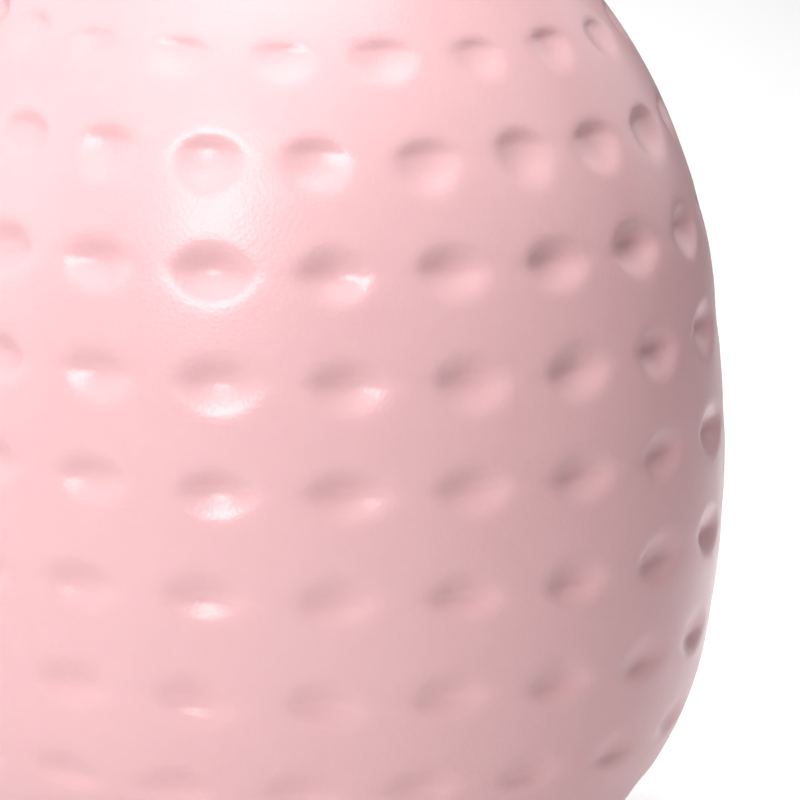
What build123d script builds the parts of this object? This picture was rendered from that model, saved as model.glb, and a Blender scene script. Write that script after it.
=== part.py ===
from build123d import *
import os

# Egg-shaped inflatable exercise ball, inflated and standing on its blunt end.
# Millimetres, +Z up along the egg's long axis, origin at the centre of the
# flat it stands on. The ball comes apart into three pieces: the moulded skin,
# the soft valve seat bonded into the skin's top pole, and the stopper that
# pushes into the seat and is pulled straight up to let air in or out.

# ---------------------------------------------------------------- dimensions
MAX_DIAMETER = 230.0        # across the belly, over the skin
HEIGHT = 290.6             # from the standing flat to the top pole
STAND_FLAT_R = 22.0         # the blunt end is flattened to this radius
SKIN_T = 1.5                # wall of the moulded skin

# Outer profile of the skin, as shares of the belly radius and of the height,
# from the top pole down to the rim of the standing flat, equal steps of arc.
STATIONS = [
    (0.00000, 1.00000), (0.11904, 0.99573), (0.23452, 0.98362), (0.34417, 0.96473),
    (0.44635, 0.94016), (0.54017, 0.91081), (0.62530, 0.87760), (0.70165, 0.84116),
    (0.76913, 0.80207), (0.82748, 0.76074), (0.87626, 0.71753), (0.91513, 0.67276),
    (0.94409, 0.62685), (0.96513, 0.58023), (0.98087, 0.53333), (0.99200, 0.48618),
    (0.99843, 0.43890), (0.99965, 0.39156), (0.99487, 0.34424), (0.98357, 0.29713),
    (0.96339, 0.25047), (0.92826, 0.20526), (0.87687, 0.16255), (0.81078, 0.12312),
    (0.73104, 0.08785), (0.63922, 0.05757), (0.53704, 0.03303), (0.42661, 0.01493),
    (0.31043, 0.00379), (0.19130, 0.00000),
]

# Valve at the top pole
HOLE_R = 9.0                # round opening in the skin that the seat fills
SEAT_LIP_H = 0.6            # the seat's rim stands this far proud of the skin
SEAT_FLANGE_R = 19.0        # bonding flange against the inside of the skin
SEAT_FLANGE_T = 1.6
SEAT_TUBE_R = 6.8           # outside of the sleeve that hangs into the ball
SEAT_LENGTH = 24.0          # from the rim to the sleeve's open lower end
BORE_R = 4.0                # air passage, and the stopper's fit
RECESS_R = 7.4              # the stopper's head sinks into this recess
RECESS_DEPTH = 2.2
NAIL_NOTCH_W = 6.0          # fingernail notch at the edge of the recess
NAIL_NOTCH_OUT = 1.1        # how far the notch cuts into the rim

# Stopper
HEAD_R = 7.0
HEAD_T = 1.8
HEAD_GAP = 0.05             # under the head when it is pushed home
HEAD_DISH_R = 4.2           # shallow dish moulded in the top of the head
HEAD_DISH_DEPTH = 0.5
SHANK_R = 3.95              # over the sealing rings: 0.05 clear of the bore
SHANK_CORE_R = 3.45         # between the sealing rings
SHANK_LENGTH = 15.5
RING_H = 2.6                # height of one sealing ring
RING_COUNT = 3
TIP_R = 3.0
TIP_H = 2.4
PULL_OUT = 18.0             # travel that takes the stopper clear of the seat


def egg_points(offset):
    """The profile's points moved in by `offset` along the profile's normal."""
    pts = [(r * MAX_DIAMETER / 2, z * HEIGHT) for r, z in STATIONS]
    pts[-1] = (STAND_FLAT_R, 0.0)
    out = []
    for i, (r, z) in enumerate(pts):
        if i == 0:
            out.append((0.0, z - offset))
            continue
        if i == len(pts) - 1:
            out.append((r, z + offset))
            continue
        (ra, za), (rb, zb) = pts[i - 1], pts[i + 1]
        tr, tz = rb - ra, zb - za
        n = (tr * tr + tz * tz) ** 0.5
        # going down the profile, the outward normal is (-tz, tr) / n
        out.append((r + offset * tz / n, z - offset * tr / n))
    return out


def egg_wall(near, far):
    """Half section of the wall between two surfaces moved in from the skin's outside."""
    a, b = egg_points(near), egg_points(far)
    foot_a, foot_b = (0.0, a[-1][1]), (0.0, b[-1][1])
    with BuildSketch(Plane.XZ) as sketch:
        with BuildLine():
            Spline(*a, tangents=[(1, 0), (-1, 0)], tangent_scalars=[1.0, 1.0])
            Line(a[-1], foot_a)
            Line(foot_a, foot_b)
            Line(foot_b, b[-1])
            Spline(*reversed(b), tangents=[(1, 0), (-1, 0)], tangent_scalars=[1.0, 1.0])
            Line(b[0], a[0])
        make_face()
    return sketch.sketch


def outline(points):
    """Half section from a closed (radius, height) outline."""
    with BuildSketch(Plane.XZ) as sketch:
        with BuildLine():
            Polyline(*points, close=True)
        make_face()
    return sketch.sketch


def strip(radius, low, high):
    """Half section of a column about the axis."""
    return outline([(0, low), (radius, low), (radius, high), (0, high)])


def spun(section):
    """The single solid made by turning a half section about the axis."""
    solids = revolve(section, axis=Axis.Z).solids()
    assert len(solids) == 1, len(solids)
    return solids[0]


# ------------------------------------------------------------------- the skin
opening = strip(HOLE_R, HEIGHT - 12, HEIGHT + 6)
ball_skin = spun(egg_wall(0.0, SKIN_T) - opening)

# ------------------------------------------------------------- the valve seat
rim_top = HEIGHT + SEAT_LIP_H
seat_low = rim_top - SEAT_LENGTH
recess_floor = rim_top - RECESS_DEPTH
# bonding flange: a cap of even thickness that follows the inside of the skin
flange = egg_wall(SKIN_T, SKIN_T + SEAT_FLANGE_T) & strip(
    SEAT_FLANGE_R, HEIGHT - 14, HEIGHT + 2
)
neck = outline([
    (0, HEIGHT - 4.2), (SEAT_TUBE_R, HEIGHT - 4.2), (HOLE_R, HEIGHT - 2.6),
    (HOLE_R, rim_top - 0.35), (HOLE_R - 0.35, rim_top), (0, rim_top),
])
sleeve = outline([
    (0, seat_low), (SEAT_TUBE_R - 1.2, seat_low), (SEAT_TUBE_R - 0.4, seat_low + 2.0),
    (SEAT_TUBE_R, seat_low + 8.0), (SEAT_TUBE_R, HEIGHT - 3.0), (0, HEIGHT - 3.0),
])
recess = outline([
    (0, recess_floor), (RECESS_R, recess_floor), (RECESS_R, rim_top - 0.3),
    (RECESS_R + 0.35, rim_top + 0.05), (RECESS_R + 0.35, rim_top + 2), (0, rim_top + 2),
])
bore = outline([
    (0, seat_low - 2), (BORE_R, seat_low - 2), (BORE_R, recess_floor - 0.5),
    (BORE_R + 0.55, recess_floor + 0.05), (BORE_R + 0.55, rim_top), (0, rim_top),
])
seat_round = spun(flange + neck + sleeve - recess - bore)
notch = Pos(RECESS_R, 0, recess_floor + 0.8 + 2) * Box(
    2 * NAIL_NOTCH_OUT, NAIL_NOTCH_W, 4
)
valve_seat = (seat_round - notch).solids()
assert len(valve_seat) == 1
valve_seat = valve_seat[0]

# ---------------------------------------------------------------- the stopper
head_low = recess_floor + HEAD_GAP
head_top = head_low + HEAD_T
tip_low = head_low - SHANK_LENGTH
ring_pitch = (SHANK_LENGTH - TIP_H - 0.6) / RING_COUNT
side = [(0, tip_low), (TIP_R - 0.6, tip_low), (TIP_R, tip_low + 0.6),
        (SHANK_CORE_R, tip_low + TIP_H)]
for i in range(RING_COUNT):
    z0 = tip_low + TIP_H + i * ring_pitch + 0.2
    side += [(SHANK_CORE_R, z0), (SHANK_R, z0 + 0.9), (SHANK_R, z0 + RING_H - 0.35),
             (SHANK_CORE_R, z0 + RING_H)]
side += [
    (SHANK_CORE_R, head_low), (HEAD_R - 0.5, head_low), (HEAD_R, head_low + 0.5),
    (HEAD_R, head_top - 0.45), (HEAD_R - 0.25, head_top - 0.12), (HEAD_R - 0.7, head_top),
    (HEAD_DISH_R, head_top), (HEAD_DISH_R - 0.8, head_top - HEAD_DISH_DEPTH),
    (0, head_top - HEAD_DISH_DEPTH),
]
valve_stopper = spun(outline(side))

# ------------------------------------------------------------------ write out
os.makedirs("parts", exist_ok=True)
PARTS = {
    "ball_skin": ball_skin,
    "valve_seat": valve_seat,
    "valve_stopper": valve_stopper,
}
for name, solid in PARTS.items():
    solid.label = name
    export_step(solid, "parts/" + name + ".step")
    box = solid.bounding_box()
    print(name, "volume", round(solid.volume, 1), "box",
          [round(v, 2) for v in (box.min.X, box.min.Y, box.min.Z, box.max.X, box.max.Y, box.max.Z)])
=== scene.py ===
"""Looks of the egg-shaped exercise ball: dimpled skin, valve seat and stopper, on a plain pale floor."""

import math

import bpy
import numpy as np
from mathutils import Matrix, Vector


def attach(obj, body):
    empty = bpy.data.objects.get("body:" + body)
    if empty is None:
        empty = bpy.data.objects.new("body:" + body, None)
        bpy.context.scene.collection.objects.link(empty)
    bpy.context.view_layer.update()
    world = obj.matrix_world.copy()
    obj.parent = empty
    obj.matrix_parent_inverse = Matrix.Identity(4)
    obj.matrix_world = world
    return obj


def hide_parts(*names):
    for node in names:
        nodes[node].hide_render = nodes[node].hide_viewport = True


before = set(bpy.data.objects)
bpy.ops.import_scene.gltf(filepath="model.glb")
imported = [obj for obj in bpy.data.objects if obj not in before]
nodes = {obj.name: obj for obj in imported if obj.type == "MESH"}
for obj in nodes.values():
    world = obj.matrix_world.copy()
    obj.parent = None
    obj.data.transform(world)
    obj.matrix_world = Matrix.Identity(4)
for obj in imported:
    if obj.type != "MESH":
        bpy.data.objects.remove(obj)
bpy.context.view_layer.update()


# ------------------------------------------------------------------ dimensions
# The egg's outer profile, as in the CAD model: shares of the belly radius and
# of the height, from the top pole down to the rim of the standing flat.
MM = 0.001
BELLY_R = 115.0
HEIGHT = 290.6
FLAT_R = 22.0
SKIN_T = 1.5
HOLE_R = 9.0
STATIONS = [
    (0.00000, 1.00000), (0.11904, 0.99573), (0.23452, 0.98362), (0.34417, 0.96473),
    (0.44635, 0.94016), (0.54017, 0.91081), (0.62530, 0.87760), (0.70165, 0.84116),
    (0.76913, 0.80207), (0.82748, 0.76074), (0.87626, 0.71753), (0.91513, 0.67276),
    (0.94409, 0.62685), (0.96513, 0.58023), (0.98087, 0.53333), (0.99200, 0.48618),
    (0.99843, 0.43890), (0.99965, 0.39156), (0.99487, 0.34424), (0.98357, 0.29713),
    (0.96339, 0.25047), (0.92826, 0.20526), (0.87687, 0.16255), (0.81078, 0.12312),
    (0.73104, 0.08785), (0.63922, 0.05757), (0.53704, 0.03303), (0.42661, 0.01493),
    (0.31043, 0.00379), (0.19130, 0.00000),
]

# Rings of dimples: arc from the top pole in mm, how many, the angle of one of
# them in degrees from -Y towards +X, how far the crease sits above the
# dimple's middle in mm, shares of the full depth and height, and how much of
# a wall its floor takes up (small is a V, large is a bowl).
RINGS = [
    (46.5, 11, -9.0, 1.6, 0.50, 0.62, 0.7), (72.6, 16, -19.0, 1.8, 0.58, 0.70, 0.7),
    (99.25, 20, -21.6, 1.9, 0.66, 0.80, 0.7), (126.47, 22, -13.72, 2.0, 0.86, 0.97, 0.62),
    (153.45, 22, -11.43, 0.6, 1.2, 1.0, 0.32), (180.95, 22, -9.62, 1.3, 1.15, 1.0, 0.26),
    (207.17, 22, -9.44, 0.9, 1.05, 0.98, 0.26), (233.53, 22, -10.39, -0.3, 0.98, 0.96, 0.26),
    (259.08, 22, -11.90, -1.3, 0.80, 0.92, 0.28), (284.10, 22, -14.07, -1.6, 0.74, 0.88, 0.3),
    (309.2, 20, -17.2, -1.8, 0.68, 0.8, 0.4), (334.0, 16, -13.0, -1.6, 0.6, 0.7, 0.5),
    (358.6, 11, -8.0, -1.6, 0.52, 0.62, 0.6),
]
DIMPLE_W = 0.362     # half width, as a share of the ring's pitch
DIMPLE_H = 9.7       # half height on the full-size rings, mm
DIMPLE_DEPTH = 3.0
BASE_COUNT = 22


def clamped_spline(points, first, last):
    """C2 cubic through the points, by chord length, with unit end tangents. Returns a function of arc and the arc's length."""
    p = np.array(points, float)
    u = np.concatenate([[0], np.cumsum(np.hypot(*np.diff(p, axis=0).T))])
    h = np.diff(u)
    n = len(u)
    a, b = np.zeros((n, n)), np.zeros((n, 2))
    a[0, 0] = a[-1, -1] = 1
    b[0], b[-1] = first, last
    for i in range(1, n - 1):
        a[i, i - 1], a[i, i], a[i, i + 1] = 1 / h[i - 1], 2 / h[i - 1] + 2 / h[i], 1 / h[i]
        b[i] = 3 * ((p[i] - p[i - 1]) / h[i - 1] ** 2 + (p[i + 1] - p[i]) / h[i] ** 2)
    m = np.linalg.solve(a, b)

    def at(t):
        t = np.clip(np.atleast_1d(t), u[0], u[-1])
        k = np.clip(np.searchsorted(u, t, side="right") - 1, 0, n - 2)
        w = ((t - u[k]) / h[k])[:, None]
        hk = h[k][:, None]
        return (
            (2 * w**3 - 3 * w**2 + 1) * p[k] + (w**3 - 2 * w**2 + w) * hk * m[k]
            + (-2 * w**3 + 3 * w**2) * p[k + 1] + (w**3 - w**2) * hk * m[k + 1]
        )

    return at, u[-1]


profile_points = [(r * BELLY_R, z * HEIGHT) for r, z in STATIONS]
profile_points[-1] = (FLAT_R, 0.0)
curve, chord = clamped_spline(profile_points, (1, 0), (-1, 0))
fine = curve(np.linspace(0, chord, 12001))
fine = np.concatenate([fine, np.stack([np.linspace(FLAT_R, 0, 200)[1:], np.zeros(199)], -1)])
fine_arc = np.concatenate([[0], np.cumsum(np.hypot(*np.diff(fine, axis=0).T))])
fine_t = np.gradient(fine, axis=0)
fine_t /= np.hypot(*fine_t.T)[:, None]
ARC_RIM = fine_arc[12000]      # arc at the rim of the standing flat
ARC_END = fine_arc[-1]


def on_profile(arc):
    """Radius, height and the outward normal's two parts, at each arc."""
    r, z = (np.interp(arc, fine_arc, fine[:, i]) for i in (0, 1))
    tr, tz = (np.interp(arc, fine_arc, fine_t[:, i]) for i in (0, 1))
    n = np.hypot(tr, tz)
    return r, z, -tz / n, tr / n


# ----------------------------------------------------------------- the relief
rng = np.random.default_rng(20)
dimples = []
for arc, count, phase, crease, deep, tall, floor_share in RINGS:
    r_here = float(on_profile(np.array([arc]))[0][0])
    half_w = DIMPLE_W * 2 * math.pi * r_here / count
    for j in range(count):
        a = math.radians(phase) + 2 * math.pi * j / count
        dimples.append((
            arc + rng.normal(0, 0.25), a + rng.normal(0, 0.25) / r_here,
            half_w * (1 + rng.normal(0, 0.025)), DIMPLE_H * tall * (1 + rng.normal(0, 0.03)),
            DIMPLE_DEPTH * deep * (1 + rng.normal(0, 0.05)), rng.normal(0, 0.03), crease + rng.normal(0, 0.15),
            floor_share,
        ))
dimples = np.array(dimples)


def wall_profile(v, floor_share, knee):
    """Share of the depth left at each share v of the way from the crease to the rim.

    The wall turns at the crease, is steepest over its middle, and rounds over from the knee out to the rim.
    """
    t = np.linspace(0, 1, 401)
    s = np.clip(t / floor_share, 0, 1)
    e = np.clip((t - knee) / (1 - knee), 0, 1)
    steep = s * s * (3 - 2 * s) * (1 - e * e * (3 - 2 * e))
    fall = np.concatenate([[0], np.cumsum((steep[1:] + steep[:-1]) / 2)])
    return np.interp(v, t, 1 - fall / fall[-1])


ROUNDING = 0.16      # softens the outline, mm


def relief(arc, angle, radius):
    """How far the skin stands off its plain egg, in mm (negative in a dimple)."""
    out = np.zeros_like(arc)
    for d_arc, d_angle, half_w, half_h, depth, lean, crease, floor_share in dimples:
        near = np.abs(arc - d_arc) < half_h + 1.0
        if not near.any():
            continue
        idx = np.nonzero(near)[0]
        turn = (angle[idx] - d_angle + math.pi) % (2 * math.pi) - math.pi
        x = turn * radius[idx]
        inside = np.abs(x) < half_w
        idx, x = idx[inside], x[inside]
        y = arc[idx] - d_arc + crease + lean * x
        across = np.clip(1 - np.abs(x / half_w) ** 2.0, 1e-6, 1)
        reach = np.where(y < 0, half_h - crease, half_h + crease) * across**0.5
        v = np.abs(y) / reach
        above = wall_profile(v, floor_share, 0.56)
        # the wall below a V crease is straighter and starts right at it
        below = wall_profile(v, min(floor_share, 0.2), 0.42) if floor_share < 0.5 else above
        d = depth * across**1.4 * np.where(y < 0, above, below)
        out[idx] -= np.sqrt(d * d + ROUNDING**2) - ROUNDING
    # slow unevenness of a soft moulded wall
    for k, (m, wave, amp, ph) in enumerate(
        [(3, 61.0, 0.13, 0.4), (5, 47.0, 0.09, 1.9), (8, 34.0, 0.05, 4.1), (13, 83.0, 0.04, 2.6)]
    ):
        out += amp * np.sin(m * angle + ph + 1.3 * k) * np.sin(2 * math.pi * arc / wave + ph) * np.clip(radius / 60, 0, 1)
    out -= 0.14      # so the wall never stands outside the plain egg
    # witness line of the mould's valve insert
    ring = (arc - 25.0) / 0.9
    out -= 0.22 * np.exp(-ring * ring)
    # nothing moves at the hole's edge or on the standing flat
    fade = np.clip((arc - 13.0) / 8.0, 0, 1) * np.clip((ARC_RIM - 6.0 - arc) / 14.0, 0, 1)
    return out * fade * fade * (3 - 2 * fade)


# -------------------------------------------------------------- the skin mesh
PER_DIMPLE = 14
COLS = BASE_COUNT * PER_DIMPLE
phase_arcs = np.array([0.0] + [r[0] for r in RINGS[3:10]] + [ARC_END])
phase_vals = np.radians([-13.72] + [r[2] for r in RINGS[3:10]] + [-14.07])

start_arc = float(np.interp(HOLE_R + 0.45, fine[:6000, 0], fine_arc[:6000]))
probe = np.linspace(start_arc, ARC_END, 6000)
dens = np.full_like(probe, 0.62)
for arc, crease in [(r[0], r[3]) for r in RINGS]:
    dens += 0.45 * np.exp(-((np.abs(probe - arc) / 9.5) ** 6)) + 0.9 * np.exp(-(((probe - arc + crease) / 2.2) ** 2))
dens[np.abs(probe - 25.0) < 2.2] += 1.6
dens[probe < 20] *= 1.1
dens[probe > ARC_RIM - 4] *= 0.35
cum = np.concatenate([[0], np.cumsum((dens[1:] + dens[:-1]) / 2 * np.diff(probe))])
ROWS = 246
arcs = np.interp(np.linspace(0, cum[-1], ROWS), cum, probe)[:-1]   # the pole itself is a fan

# columns crowd into the dimples
w = np.linspace(-0.5, 0.5, 801)
cd = 0.6 + 0.9 * np.exp(-((np.abs(w) / 0.37) ** 6))
cw = np.concatenate([[0], np.cumsum((cd[1:] + cd[:-1]) / 2 * np.diff(w))])
cell = np.interp(np.arange(PER_DIMPLE) / PER_DIMPLE * cw[-1], cw, w)
col_angle = np.concatenate([(j + cell) * 2 * math.pi / BASE_COUNT for j in range(BASE_COUNT)])

verts, faces = [], []


def add_ring(points):
    first = sum(len(v) for v in verts)
    verts.append(points)
    return first, len(points)


def join(a, b):
    """Faces between two rings, the second with the same number of points or half as many."""
    (a0, na), (b0, nb) = a, b
    if na == nb:
        for i in range(na):
            j = (i + 1) % na
            faces.append((a0 + i, b0 + i, b0 + j, a0 + j))
    elif na == 2 * nb:
        for k in range(nb):
            k1, f0, f1, f2 = (k + 1) % nb, 2 * k, 2 * k + 1, (2 * k + 2) % na
            faces.append((a0 + f0, b0 + k, a0 + f1))
            faces.append((a0 + f1, b0 + k, b0 + k1))
            faces.append((a0 + f1, b0 + k1, a0 + f2))
    elif nb == 2 * na:
        for k in range(na):
            k1, f0, f1, f2 = (k + 1) % na, 2 * k, 2 * k + 1, (2 * k + 2) % nb
            faces.append((a0 + k, b0 + f0, b0 + f1))
            faces.append((a0 + k, b0 + f1, a0 + k1))
            faces.append((a0 + k1, b0 + f1, b0 + f2))
    else:
        raise ValueError("rings don't match")


def step_for(radius):
    """Every how many columns a ring of this radius keeps."""
    return 1 if radius > 30 else 2 if radius > 14 else 4


def ring_points(angle, radius, height):
    return np.stack([radius * np.sin(angle), -radius * np.cos(angle), np.full_like(angle, 1.0) * height], -1)


def surface_ring(arc, step, offset=0.0, with_relief=True):
    angle = col_angle[::step] + np.interp(arc, phase_arcs, phase_vals)
    r, z, nr, nz = (float(v[0]) for v in on_profile(np.array([arc])))
    lift = relief(np.full_like(angle, arc), angle, np.full_like(angle, max(r, 1e-3))) if with_relief else 0.0
    flat = min(max((abs(nz) - 0.6) / 0.35, 0.0), 1.0)
    pr, pz = nr, nz * flat * flat * (3 - 2 * flat)
    k = 1.0 / math.hypot(pr, pz)
    return ring_points(angle, r + pr * k * lift - nr * offset, z + pz * k * lift - nz * offset)


# outside, from the hole's rounded edge down to the pole under the flat
hole_angle = col_angle[::4] + phase_vals[0]
z_edge = float(on_profile(np.array([start_arc]))[1][0])
previous = None
first_ring = None
for dr, dz in ((0.02, -1.25), (0.02, -0.45), (0.08, -0.22), (0.2, -0.07)):
    here = add_ring(ring_points(hole_angle, HOLE_R + dr, z_edge + dz))
    if previous:
        join(previous, here)
    else:
        first_ring = here
    previous = here
for arc in arcs:
    r_here = float(np.interp(arc, fine_arc, fine[:, 0]))
    step = step_for(r_here)
    if previous[1] * step > COLS * 2:
        step = COLS // previous[1] // 2 or 1
    while COLS // step > previous[1] * 2:
        step *= 2
    while COLS // step < previous[1] / 2:
        step //= 2
    here = add_ring(surface_ring(arc, step))
    join(previous, here)
    previous = here
pole = sum(len(v) for v in verts)
verts.append(np.array([[0.0, 0.0, 0.0]]))
a0, na = previous
for i in range(na):
    faces.append((a0 + i, pole, a0 + (i + 1) % na))

# inside, back up from the pole to the hole; it is hidden, so it is coarser
inner_pole = sum(len(v) for v in verts)
verts.append(np.array([[0.0, 0.0, SKIN_T]]))
inner_rows = arcs[::-1][::2]
inner_rows = inner_rows[(inner_rows > 12.0) & (inner_rows < ARC_END - 4.0)]
inner_arcs = np.concatenate([
    inner_rows, [float(np.interp(HOLE_R + 0.1, fine[:6000, 0], fine_arc[:6000]))],
])
previous = None
for arc in inner_arcs:
    r_here = float(np.interp(arc, fine_arc, fine[:, 0]))
    here = add_ring(surface_ring(arc, 4 if r_here < 24 else 2, SKIN_T))
    if previous is None:
        h0, nh = here
        for i in range(nh):
            faces.append((inner_pole, h0 + i, h0 + (i + 1) % nh))
    else:
        join(previous, here)
    previous = here
# the hole's wall, from the inside surface up to the rounded edge
join(previous, first_ring)

co = np.concatenate(verts) * MM
mesh = bpy.data.meshes.new("dimpled_skin")
mesh.from_pydata(co.tolist(), [], faces)
mesh.validate()
mesh.update()
for p in mesh.polygons:
    p.use_smooth = True
skin = bpy.data.objects.new("dimpled_skin", mesh)
bpy.context.scene.collection.objects.link(skin)

import bmesh

bm = bmesh.new()
bm.from_mesh(mesh)
bmesh.ops.recalc_face_normals(bm, faces=bm.faces)
open_edges = sum(1 for e in bm.edges if len(e.link_faces) != 2)
volume = bm.calc_volume()
bm.to_mesh(mesh)
bm.free()
print("SKIN faces", len(mesh.polygons), "tris", sum(len(p.vertices) - 2 for p in mesh.polygons),
      "open edges", open_edges, "volume cm3", round(volume * 1e6, 1))

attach(skin, "ball")
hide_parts("ball_skin")


# ------------------------------------------------------------------ materials
class Tree:
    """Short hands for a node tree."""

    def __init__(self, name):
        self.material = bpy.data.materials.new(name)
        self.material.use_nodes = True
        self.tree = self.material.node_tree
        self.tree.nodes.clear()
        self.out = self.add("ShaderNodeOutputMaterial")
        self.bsdf = self.add("ShaderNodeBsdfPrincipled")
        self.link(self.bsdf.outputs["BSDF"], self.out.inputs["Surface"])
        self.coords = self.add("ShaderNodeTexCoord").outputs["Object"]

    def add(self, kind, **values):
        node = self.tree.nodes.new(kind)
        for key, value in values.items():
            setattr(node, key, value)
        return node

    def link(self, a, b):
        self.tree.links.new(a, b)

    def put(self, value, socket):
        if isinstance(value, bpy.types.NodeSocket):
            self.link(value, socket)
        else:
            socket.default_value = value

    def noise(self, scale, detail=3.0, rough=0.5, coords=None):
        n = self.add("ShaderNodeTexNoise")
        self.link(coords or self.coords, n.inputs["Vector"])
        n.inputs["Scale"].default_value = scale
        n.inputs["Detail"].default_value = detail
        n.inputs["Roughness"].default_value = rough
        return n.outputs["Fac"]

    def cells(self, scale, feature="SMOOTH_F1", smooth=0.6):
        n = self.add("ShaderNodeTexVoronoi", feature=feature)
        self.link(self.coords, n.inputs["Vector"])
        n.inputs["Scale"].default_value = scale
        if feature == "SMOOTH_F1":
            n.inputs["Smoothness"].default_value = smooth
        return n.outputs["Distance"]

    def math(self, op, a, b=0.0, c=None, clamp=False):
        n = self.add("ShaderNodeMath", operation=op, use_clamp=clamp)
        self.put(a, n.inputs[0])
        self.put(b, n.inputs[1])
        if c is not None:
            self.put(c, n.inputs[2])
        return n.outputs[0]

    def ramp(self, value, low, high, to_low=0.0, to_high=1.0):
        n = self.add("ShaderNodeMapRange", interpolation_type="LINEAR", clamp=True)
        self.put(value, n.inputs["Value"])
        for key, v in (("From Min", low), ("From Max", high), ("To Min", to_low), ("To Max", to_high)):
            n.inputs[key].default_value = v
        return n.outputs["Result"]

    def mix(self, fac, a, b):
        n = self.add("ShaderNodeMix", data_type="RGBA")
        self.put(fac, n.inputs[0])
        self.put(a, n.inputs[6])
        self.put(b, n.inputs[7])
        return n.outputs[2]

    def near(self, point, radius, soft=0.4):
        """1 inside a small ball about a point of the object, 0 outside."""
        n = self.add("ShaderNodeVectorMath", operation="DISTANCE")
        self.link(self.coords, n.inputs[0])
        n.inputs[1].default_value = point
        return self.ramp(n.outputs["Value"], radius * (1 - soft), radius * (1 + soft), 1.0, 0.0)

    def bump(self, height, distance, strength=1.0, normal=None):
        n = self.add("ShaderNodeBump")
        n.inputs["Strength"].default_value = strength
        n.inputs["Distance"].default_value = distance
        self.put(height, n.inputs["Height"])
        if normal is not None:
            self.link(normal, n.inputs["Normal"])
        return n.outputs["Normal"]


def skin_material():
    t = Tree("pink_soft_vinyl")
    b = t.bsdf.inputs
    base, deep, pale = (0.812, 0.482, 0.502, 1), (0.797, 0.466, 0.488, 1), (0.825, 0.506, 0.524, 1)
    cloud = t.ramp(t.noise(14.0, 4.0, 0.55), 0.35, 0.68)
    mottled = t.mix(cloud, deep, base)
    fine = t.ramp(t.noise(160.0, 3.0, 0.6), 0.42, 0.72)
    colour = t.mix(t.math("MULTIPLY", fine, 0.35), mottled, pale)
    t.link(colour, b["Base Color"])
    t.link(t.math("MULTIPLY_ADD", t.noise(55.0, 4.0, 0.6), 0.16, 0.24), b["Roughness"])
    b["IOR"].default_value = 1.48
    # leathery grain: soft cells about a millimetre across over finer noise
    peel = t.cells(900.0)
    grain = t.noise(2100.0, 2.0, 0.5)
    waves = t.noise(210.0, 2.0, 0.5)
    height = t.math("ADD", t.math("MULTIPLY", peel, 0.7), t.math("MULTIPLY", grain, 0.35))
    n1 = t.bump(waves, 0.00015, 0.25)
    n2 = t.bump(height, 0.0001, 0.6, n1)
    t.link(n2, b["Normal"])
    return t.material


def seat_material():
    t = Tree("pink_seat_vinyl")
    b = t.bsdf.inputs
    colour = t.mix(t.ramp(t.noise(90.0, 4.0), 0.35, 0.7), (0.83, 0.40, 0.425, 1), (0.88, 0.47, 0.49, 1))
    t.link(colour, b["Base Color"])
    t.link(t.ramp(t.noise(240.0, 3.0), 0.3, 0.7, 0.36, 0.5), b["Roughness"])
    b["Subsurface Weight"].default_value = 0.1
    b["Subsurface Radius"].default_value = (0.004, 0.0016, 0.0013)
    t.link(t.bump(t.noise(1500.0, 3.0), 0.00005, 0.5), b["Normal"])
    return t.material


def stopper_material():
    t = Tree("white_moulded_stopper")
    b = t.bsdf.inputs
    colour = t.mix(t.ramp(t.noise(160.0, 4.0), 0.35, 0.7), (0.66, 0.65, 0.625, 1), (0.72, 0.71, 0.69, 1))
    t.link(colour, b["Base Color"])
    t.link(t.ramp(t.noise(420.0, 3.0), 0.3, 0.7, 0.34, 0.48), b["Roughness"])
    b["Subsurface Weight"].default_value = 0.15
    b["Subsurface Radius"].default_value = (0.002, 0.002, 0.0018)
    t.link(t.bump(t.noise(2400.0, 2.0), 0.00003, 0.5), b["Normal"])
    return t.material


skin.data.materials.clear()
skin.data.materials.append(skin_material())


def dress(node, material):
    ob = nodes[node]
    if not ob.material_slots:
        ob.data.materials.append(material)
    for s in ob.material_slots:
        s.material = material


dress("ball_skin", skin.data.materials[0])
dress("valve_seat", seat_material())
dress("valve_stopper", stopper_material())

# ------------------------------------------------------------- floor and world
floor_mesh = bpy.data.meshes.new("floor")
floor_mesh.from_pydata([(-40, -40, 0), (40, -40, 0), (40, 40, 0), (-40, 40, 0)], [], [(0, 1, 2, 3)])
floor = bpy.data.objects.new("floor", floor_mesh)
bpy.context.scene.collection.objects.link(floor)
ft = Tree("pale_floor")
ft.link(ft.mix(ft.noise(3.0, 3.0), (0.81, 0.81, 0.81, 1), (0.835, 0.835, 0.835, 1)), ft.bsdf.inputs["Base Color"])
ft.bsdf.inputs["Roughness"].default_value = 0.7
floor.data.materials.append(ft.material)

scene = bpy.context.scene
world = bpy.data.worlds.new("studio")
scene.world = world
world.use_nodes = True
wt = world.node_tree
wt.nodes.clear()
wout = wt.nodes.new("ShaderNodeOutputWorld")
wbg = wt.nodes.new("ShaderNodeBackground")
wbg.inputs["Color"].default_value = (1.0, 1.0, 1.0, 1)
wbg.inputs["Strength"].default_value = 0.15
wt.links.new(wbg.outputs["Background"], wout.inputs["Surface"])


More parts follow.
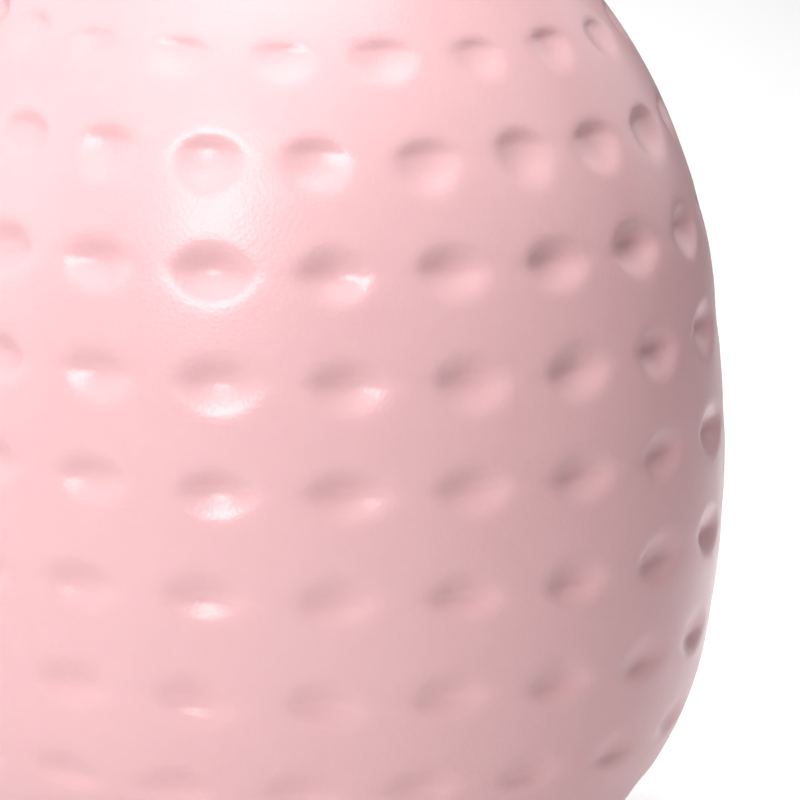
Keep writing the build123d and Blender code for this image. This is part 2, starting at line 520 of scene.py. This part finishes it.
def softbox(name, target, azimuth, elevation, distance, size, power, colour=(1, 1, 1), spread=180):
    """An area light that looks at target from an azimuth (0 is -Y, towards +X) and an elevation."""
    a, e = math.radians(azimuth), math.radians(elevation)
    away = Vector((math.sin(a) * math.cos(e), -math.cos(a) * math.cos(e), math.sin(e)))
    data = bpy.data.lights.new(name, "AREA")
    data.shape = "RECTANGLE"
    data.size, data.size_y = size
    data.energy = power
    data.color = colour
    data.spread = math.radians(spread)
    ob = bpy.data.objects.new(name, data)
    scene.collection.objects.link(ob)
    ob.visible_camera = False
    ob.location = Vector(target) + away * distance
    if elevation < 89.5:
        ob.rotation_euler = (-away).to_track_quat("-Z", "Y").to_euler()
    return ob


BALL = (0.0, 0.0, 0.15)
softbox("key_softbox", (-0.020, -0.099, 0.207), -26, 30, 1.15, (0.38, 0.46), 8.1)
softbox("front_top", BALL, -30, 65, 0.75, (0.8, 0.8), 2.8)
softbox("top", BALL, 0, 89, 0.75, (0.6, 0.6), 2.95)
softbox("left_mid", BALL, -70, 38, 0.75, (0.5, 0.5), 0.25)
softbox("left_low", BALL, -90, 12, 0.75, (0.5, 0.5), 1.1)
softbox("right_mid", BALL, 80, 35, 0.75, (0.5, 0.5), 0.35)
softbox("back_left", BALL, -135, 25, 0.80, (0.5, 0.5), 0.5)
softbox("back_right", BALL, 130, 20, 0.85, (0.4, 0.4), 0.5)
softbox("floor_wash", (-0.375, 1.55, 0.0), 180, 90, 0.6, (1.65, 2.3), 12.6, spread=55)
softbox("floor_near", (0.185, 0.27, 0.0), 180, 90, 0.5, (0.14, 0.30), 0.52, spread=45)

# ------------------------------------------------------------------ the camera
right = Vector((0.9994992448, -0.0151564460, 0.0277766499))
up = Vector((-0.0235454112, 0.2302052491, 0.9728572130))
ahead = Vector((0.0211393885, 0.9730240621, -0.2297331078))
cam_data = bpy.data.cameras.new("camera")
cam_data.sensor_fit = "HORIZONTAL"
cam_data.sensor_width = 36.0
cam_data.lens = 224.375
cam_data.clip_start, cam_data.clip_end = 0.01, 60
cam = bpy.data.objects.new("camera", cam_data)
scene.collection.objects.link(cam)
pose = Matrix((right, up, -ahead)).transposed().to_4x4()
pose.translation = Vector((0.0, -1.29056186, 0.44356832))
cam.matrix_world = pose
scene.camera = cam

scene.view_settings.view_transform = "Standard"
scene.view_settings.look = "None"
scene.view_settings.exposure = 0.0
scene.view_settings.gamma = 1.0
